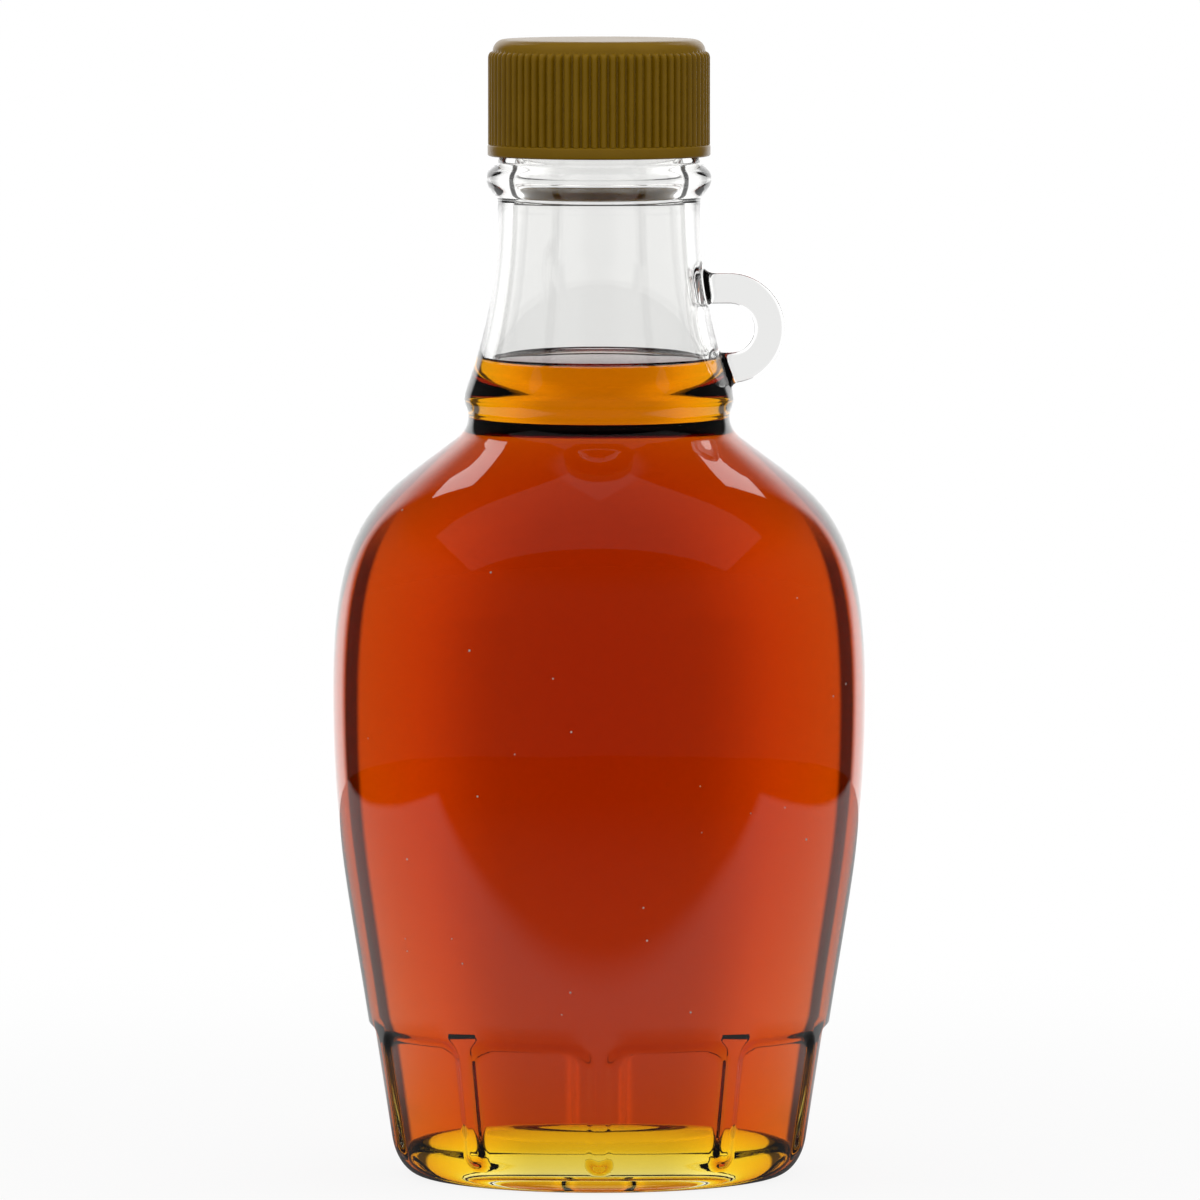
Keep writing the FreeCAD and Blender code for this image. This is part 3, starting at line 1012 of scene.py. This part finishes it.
@dataclass
class ScrewCap:
    """The moulded screw cap: crown, ridged skirt and plain flange, in mm."""

    bottom_z: float = 137.5
    roof_z: float = 151.7
    top_z: float = 153.2
    bore_r: float = 13.2
    root_r: float = 14.31
    ridge_h: float = 0.62
    flange_h: float = 1.6
    flange_r: float = 14.99
    crown_r: float = 1.6
    lead_in: float = 0.8
    edge_r: float = 0.3
    ridge_count: int = 74
    ridge_share: float = 0.72
    columns: int = 12
    fine_h: float = 1.4
    ridge_end_h: float = 0.9
    crease: float = 50.0

    def outline(self) -> list[Bend]:
        """Returns the outline from under the roof round to the top of the crown."""
        low, flange_top = self.bottom_z, self.bottom_z + self.flange_h
        crown_z, flat_r = self.top_z - self.crown_r, self.root_r - self.crown_r
        edge, edge_r, bore, root = self.edge_r, self.flange_r - self.edge_r, self.bore_r, self.root_r
        under = [(0.0, self.roof_z), (bore, self.roof_z), (bore, flange_top)]
        under += [(bore + self.lead_in, low), (edge_r, low)]
        skirt = [(edge_r, flange_top), (root, flange_top)]
        skirt += [(root, crown_z - self.fine_h), (root, crown_z)]
        return [
            *linked(under, (2, 2, 1, 1)),
            round_bend((edge_r, low + edge), edge, -90, 0, 3),
            straight((self.flange_r, low + edge), (self.flange_r, flange_top - edge)),
            round_bend((edge_r, flange_top - edge), edge, 0, 90, 3),
            *linked(skirt, (1, 3, 8)),
            round_bend((flat_r, crown_z), self.crown_r, 0, 90, 8),
            straight((flat_r, self.top_z), (0.0, self.top_z), 4),
        ]

    def ridge_height(self, angle: float, height: float) -> float:
        """How far the ridges stand out at a place of the skirt, from 0 to 1."""
        pitch = 2 * math.pi / self.ridge_count
        off = abs((angle + pitch / 2) % pitch - pitch / 2) / pitch * 2 / self.ridge_share
        if off >= 1:
            return 0.0
        crest = math.sqrt(1 - off**2.2)
        end_z = self.top_z - self.crown_r
        left = (end_z - height) / self.ridge_end_h
        return crest * math.sqrt(max(0.0, 1 - (1 - min(1.0, max(0.0, left))) ** 2))

    def build(self) -> Piece:
        """Returns the finished cap."""
        cap = lathe("screw_cap", self.outline(), [Sweep(360, self.ridge_count * self.columns)])
        low = self.bottom_z + self.flange_h
        high = self.top_z - self.crown_r
        for vert in cap.data.vertices:
            x, y, z = (c / MM for c in vert.co)
            on_wall = abs(math.hypot(x, y) - self.root_r) < 0.02 and low - 0.01 < z < high + 0.01
            weight = self.ridge_height(math.atan2(y, x), z) if on_wall else 0.0
            if weight > 0:
                factor = 1 + weight * self.ridge_h / self.root_r
                vert.co.x *= factor
                vert.co.y *= factor
        cap.data.materials.append(GoldPlastic().make())
        pick(cap)
        bpy.ops.object.shade_smooth_by_angle(angle=math.radians(self.crease))
        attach(cap, "root")
        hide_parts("cap")
        return cap


# ---- the studio


@dataclass(frozen=True)
class Fade:
    """A soft change from one level to another between two places along what drives it."""

    start: float
    stop: float
    before: float = 0.0
    after: float = 1.0

    def inputs(self, driver: Socket) -> dict[str, Any]:
        """Returns the range node's inputs."""
        span = {"From Min": self.start, "From Max": self.stop}
        return {"Value": driver, **span, "To Min": self.before, "To Max": self.after}


def turns(start: float, stop: float, before: float, after: float) -> Fade:
    """Returns a fade between two angles in degrees."""
    return Fade(math.radians(start), math.radians(stop), before, after)


def rises(start: float, stop: float, before: float, after: float) -> Fade:
    """Returns a fade between two elevations in degrees, driven by the height of a direction."""
    return Fade(math.sin(math.radians(start)), math.sin(math.radians(stop)), before, after)


SOFT = {"interpolation_type": "SMOOTHSTEP"}
LEVEL = {"data_type": "FLOAT"}
WHITE = (1.0, 1.0, 1.0, 1.0)


@dataclass
class Studio:
    """The floor, the light and the camera, in m and degrees.

    What the glass sees behind it is a white wall, a little darker in the middle, with two dark strips
    that draw the dark lines along its edges. What it mirrors is a bright back and a dark room.
    """

    aim: tuple[float, float, float] = (0.00013, 0.0, 0.0776)
    distance: float = 1.76
    elevation: float = 4.1
    lens: float = 391.5
    floor_r: float = 0.45
    floor_colour: str = "#F2F2F2"
    floor_glow: Fade = Fade(0.1, 0.3, 0.88, 1.0)
    # painted shade: the mirrored table patch is dimmed near the flask, standing in for its contact
    # shadow
    shade_near_flask: Fade = Fade(0.04, 0.10, 0.15, 1.0)
    beyond_flask: Fade = Fade(0.08, 0.22)
    table_front: float = 0.10
    table_side: float = 0.30
    table_edge: float = 0.012
    table_gloss: float = 0.5
    strip_middle: float = 56.3
    strip: Fade = turns(3.2, 6.8, 0.1, 1.0)
    edge_offset: float = 0.0315
    wall: Fade = turns(12.0, 30.0, 0.88, 1.3)
    overhead: Fade = rises(36.0, 50.0, 1.0, 0.15)
    mirrored_back: Fade = turns(30.0, 38.0, 1.4, 0.05)
    mirrored_top: Fade = rises(20.0, 35.0, 1.0, 0.1)
    room_level: float = 0.75
    lamp_aim: tuple[float, float, float] = (0.0, 0.0, 0.08)

    def camera(self) -> None:
        """Places the camera."""
        data = bpy.data.cameras.new("camera")
        data.lens, data.sensor_width = self.lens, 36.0
        data.clip_start, data.clip_end = 0.05, 50.0
        camera = bpy.data.objects.new("camera", data)
        bpy.context.collection.objects.link(camera)
        up = math.radians(self.elevation)
        back = Vector((0, -math.cos(up), math.sin(up)))
        camera.location = Vector(self.aim) + back * self.distance
        camera.rotation_euler = (-back).to_track_quat("-Z", "Y").to_euler()
        bpy.context.scene.camera = camera

    def behind(self, tree: Tree, parts: Node, far: Optional[Socket] = None) -> Node:
        """Adds the brightness that light sees when it has passed the glass.

        Args:
            tree: The material's or the world's nodes.
            parts: Node that splits the place or the direction into X, Y and Z.
            far: Distance of a place from the axis in m, which tells how far off its ray started.

        Returns:
            The node whose output is the brightness.
        """
        side = add(tree, "Math", {0: parts.outputs["X"]}, operation="ABSOLUTE")
        depth = add(tree, "Math", {0: parts.outputs["Y"]}, operation="ABSOLUTE")
        folded = add(tree, "Math", {0: side, 1: depth}, operation="ARCTAN2")
        if far is not None:
            lean = add(tree, "Math", {0: self.edge_offset, 1: far}, operation="DIVIDE")
            folded = add(tree, "Math", {0: folded, 1: lean}, operation="ADD")
        middle = math.radians(self.strip_middle)
        off_strip = add(tree, "Math", {0: folded, 1: middle}, operation="SUBTRACT")
        off_strip = add(tree, "Math", {0: off_strip}, operation="ABSOLUTE")
        strips = add(tree, "MapRange", self.strip.inputs(off_strip), **SOFT)
        wall = add(tree, "MapRange", self.wall.inputs(folded), **SOFT)
        return add(tree, "Math", {0: strips, 1: wall}, operation="MULTIPLY")

    def table_patch(self, tree: Tree, parts: Node, far: Socket, path: Node) -> Node:
        """Adds the bright table stretch that the glass mirrors, for mirrored light alone, with painted
        shade by the flask.

        Args:
            tree: The table's nodes.
            parts: Node that splits the place into X, Y and Z.
            far: Distance of a place from the axis in m.
            path: The light path node.

        Returns:
            The node whose output is the brightness.
        """
        edge = self.table_edge
        front = Fade(-self.table_front - edge, -self.table_front + edge, 0.0, self.table_gloss)
        sides = Fade(self.table_side - edge, self.table_side + edge, 1.0, 0.0)
        across = add(tree, "Math", {0: parts.outputs["X"]}, operation="ABSOLUTE")
        # a ray that has passed glass counts as mirrored too, so those are taken off
        mirrored = {0: path.outputs["Is Glossy Ray"], 1: path.outputs["Is Transmission Ray"]}
        patch = add(tree, "Math", mirrored, operation="SUBTRACT", use_clamp=True)
        # the last fade dims the patch near the flask, a painted shade for the flask's contact shadow
        drivers = ((front, parts.outputs["Y"]), (sides, across), (self.shade_near_flask, far))
        for fade, driver in drivers:
            level = add(tree, "MapRange", fade.inputs(driver), **SOFT)
            patch = add(tree, "Math", {0: patch, 1: level}, operation="MULTIPLY")
        return patch

    def floor(self) -> Piece:
        """Returns the white table."""
        clear_selection()
        bpy.ops.mesh.primitive_circle_add(
            vertices=96, radius=self.floor_r, fill_type="NGON", location=(0, 0, -0.00002)
        )
        floor = bpy.context.object
        floor.name = "floor"
        material, tree = new_material("white_table")
        place = add(tree, "TexCoord").outputs["Object"]
        far = add(tree, "VectorMath", {0: place}, operation="LENGTH").outputs["Value"]
        fade = add(tree, "MapRange", self.floor_glow.inputs(far), **SOFT)
        path = add(tree, "LightPath")
        parts = add(tree, "SeparateXYZ", {"Vector": place})
        outer = add(tree, "MapRange", self.beyond_flask.inputs(far), **SOFT)
        levels = {"Factor": outer, 2: 1.0, 3: self.behind(tree, parts, far)}
        through = add(tree, "Mix", levels, **LEVEL)
        passed = {0: path.outputs["Is Transmission Ray"], 1: through}
        passed = add(tree, "Math", passed, operation="MULTIPLY")
        seen = {0: path.outputs["Is Camera Ray"], 1: passed}
        seen = add(tree, "Math", seen, operation="MAXIMUM")
        mirrored = self.table_patch(tree, parts, far, path)
        strength = add(tree, "Math", {0: seen, 1: mirrored}, operation="MAXIMUM")
        diffuse = add(tree, "BsdfDiffuse", {"Color": linear(self.floor_colour)})
        glow = add(tree, "Emission", {"Color": WHITE, "Strength": strength})
        mixed = add(tree, "MixShader", {0: fade, 1: diffuse, 2: glow})
        add(tree, "OutputMaterial", {"Surface": mixed})
        floor.data.materials.append(material)
        return floor

    def world(self) -> None:
        """Sets the surroundings: white to the eye, and a dark room with a bright back to the glass."""
        world = bpy.data.worlds.new("studio")
        bpy.context.scene.world = world
        world.use_nodes = True
        tree = world.node_tree
        tree.nodes.clear()
        view = add(tree, "TexCoord").outputs["Generated"]
        parts = add(tree, "SeparateXYZ", {"Vector": view})
        side = add(tree, "Math", {0: parts.outputs["X"]}, operation="ABSOLUTE")
        turned = add(tree, "Math", {0: side, 1: parts.outputs["Y"]}, operation="ARCTAN2")
        height = parts.outputs["Z"]
        overhead = add(tree, "MapRange", self.overhead.inputs(height), **SOFT)
        through = {0: self.behind(tree, parts), 1: overhead}
        through = add(tree, "Math", through, operation="MULTIPLY")
        back = add(tree, "MapRange", self.mirrored_back.inputs(turned), **SOFT)
        top = add(tree, "MapRange", self.mirrored_top.inputs(height), **SOFT)
        level = add(tree, "Math", {0: back, 1: top}, operation="MULTIPLY")
        path = add(tree, "LightPath").outputs
        levels = {"Factor": path["Is Glossy Ray"], 2: self.room_level, 3: level}
        level = add(tree, "Mix", levels, **LEVEL)
        for ray, other in (("Is Transmission Ray", through), ("Is Camera Ray", 1.0)):
            level = add(tree, "Mix", {"Factor": path[ray], 2: level, 3: other}, **LEVEL)
        light = add(tree, "Background", {"Color": WHITE, "Strength": level})
        add(tree, "OutputWorld", {"Surface": light})

    def lamp(self, name: str, place: Sequence[float], size: Sequence[float], watts: float) -> Piece:
        """Adds a soft box that faces the flask.

        Args:
            name: Name of the lamp.
            place: Its place in m.
            size: Width and height in m.
            watts: Its power.

        Returns:
            The lamp.
        """
        data = bpy.data.lights.new(name, "AREA")
        data.shape, data.size, data.size_y, data.energy = "RECTANGLE", size[0], size[1], watts
        lamp = bpy.data.objects.new(name, data)
        bpy.context.collection.objects.link(lamp)
        lamp.location = place
        facing = Vector(self.lamp_aim) - Vector(place)
        lamp.rotation_euler = facing.to_track_quat("-Z", "Y").to_euler()
        return lamp

    def build(self) -> None:
        """Sets up the whole studio."""
        self.camera()
        self.floor()
        self.world()
        self.lamp("overhead_box", (0.0, -0.22, 0.92), (2.6, 0.9), 1.3)
        for side in (-1, 1):
            self.lamp("back_box", (side * 0.54, 0.69, 0.92), (0.16, 0.25), 0.3)
        view = bpy.context.scene.view_settings
        view.view_transform = "Standard"


def main() -> None:
    """Builds the flask, its filling, its cap and the studio, and reports each piece."""
    logging.basicConfig(level=logging.INFO, format="%(message)s")
    pieces = [Flask().build(), *Filling().build(), ScrewCap().build()]
    Studio().build()
    for piece in pieces:
        piece.data.calc_loop_triangles()
        log.info("%s: %d triangles", piece.name, len(piece.data.loop_triangles))


if __name__ == "__main__":
    main()
